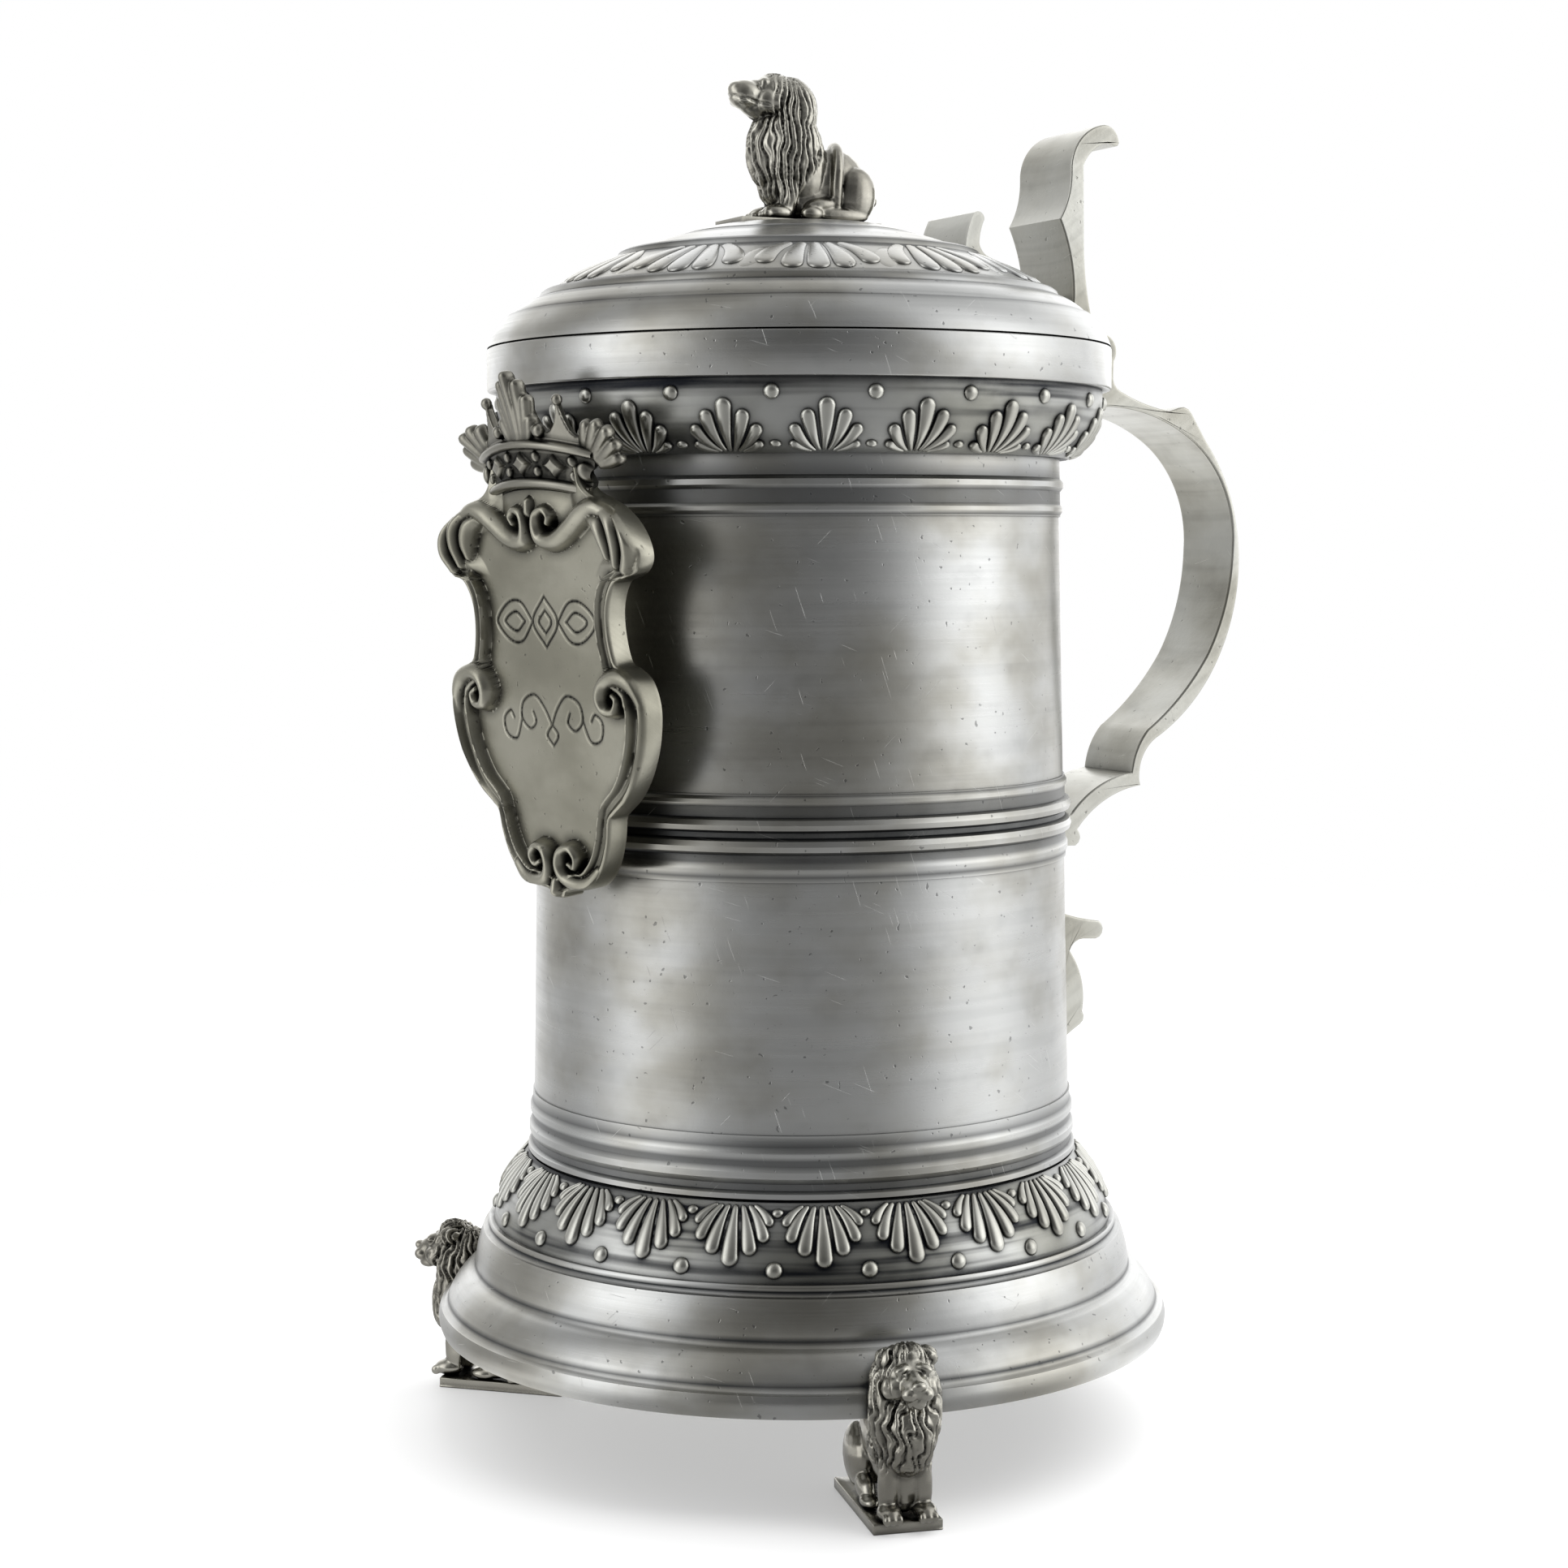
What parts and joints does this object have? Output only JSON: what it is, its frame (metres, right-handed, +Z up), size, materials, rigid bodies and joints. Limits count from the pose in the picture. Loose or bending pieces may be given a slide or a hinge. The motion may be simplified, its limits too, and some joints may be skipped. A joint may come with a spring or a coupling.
{
  "type": "lidded tankard",
  "caption": "Tall round pewter tankard with a hinged domed lid, lion finial and lion feet, palmette friezes, reeded bands, strap handle, thumbpiece and crowned shield.",
  "frame": {"origin": "on the vessel's axis, on the surface that the three plinths stand on", "axes": "+Z up along the vessel's axis, +Y towards the handle and the lid hinge, X along the hinge pin"},
  "size_m": [0.1458, 0.1643, 0.251],
  "materials": {
    "turned_pewter": "lathe-turned pewter, satin, dark patina in the grooves, fine scratches",
    "frieze_pewter": "cast pewter relief, dark ground and rubbed high spots",
    "strap_pewter": "cast and filed pewter, satin",
    "shield_pewter": "cast pewter, dull, slightly warm patina",
    "lion_pewter": "cast pewter, warm dark patina, rubbed high spots",
    "hinge_pin": "plain drawn pin, satin"
  },
  "bodies": {
    "tankard": {"drum": "turned_pewter", "vessel_floor": "turned_pewter", "base_skirt": "turned_pewter", "lower_reeded_band": "turned_pewter", "middle_reeded_band": "turned_pewter", "upper_reeded_band": "turned_pewter", "lip_ring": "turned_pewter", "base_frieze_ring": "frieze_pewter", "collar_frieze_ring": "frieze_pewter", "handle": "strap_pewter", "handle_bracket": "strap_pewter", "shield": "shield_pewter", "crown": "shield_pewter", "shield_lower_stud": "shield_pewter", "shield_upper_stud": "shield_pewter", "foot_plinth_right": "lion_pewter", "foot_plinth_front": "lion_pewter", "foot_plinth_rear": "lion_pewter", "foot_lion_right": "lion_pewter", "foot_lion_front": "lion_pewter", "foot_lion_rear": "lion_pewter", "hinge_pin": "hinge_pin"},
    "lid": {"lid_dome": "turned_pewter", "lid_locating_flange": "turned_pewter", "lid_strap": "strap_pewter", "thumbpiece": "strap_pewter", "finial_plate": "lion_pewter", "finial_lion": "lion_pewter"}
  },
  "joints": [
    {"name": "lid_hinge", "type": "hinge", "parent": "tankard", "child": "lid", "pos_m": [0, 0.0619, 0.2024], "axis": [-1, 0, 0], "range_deg": [0, 105]}
  ]
}
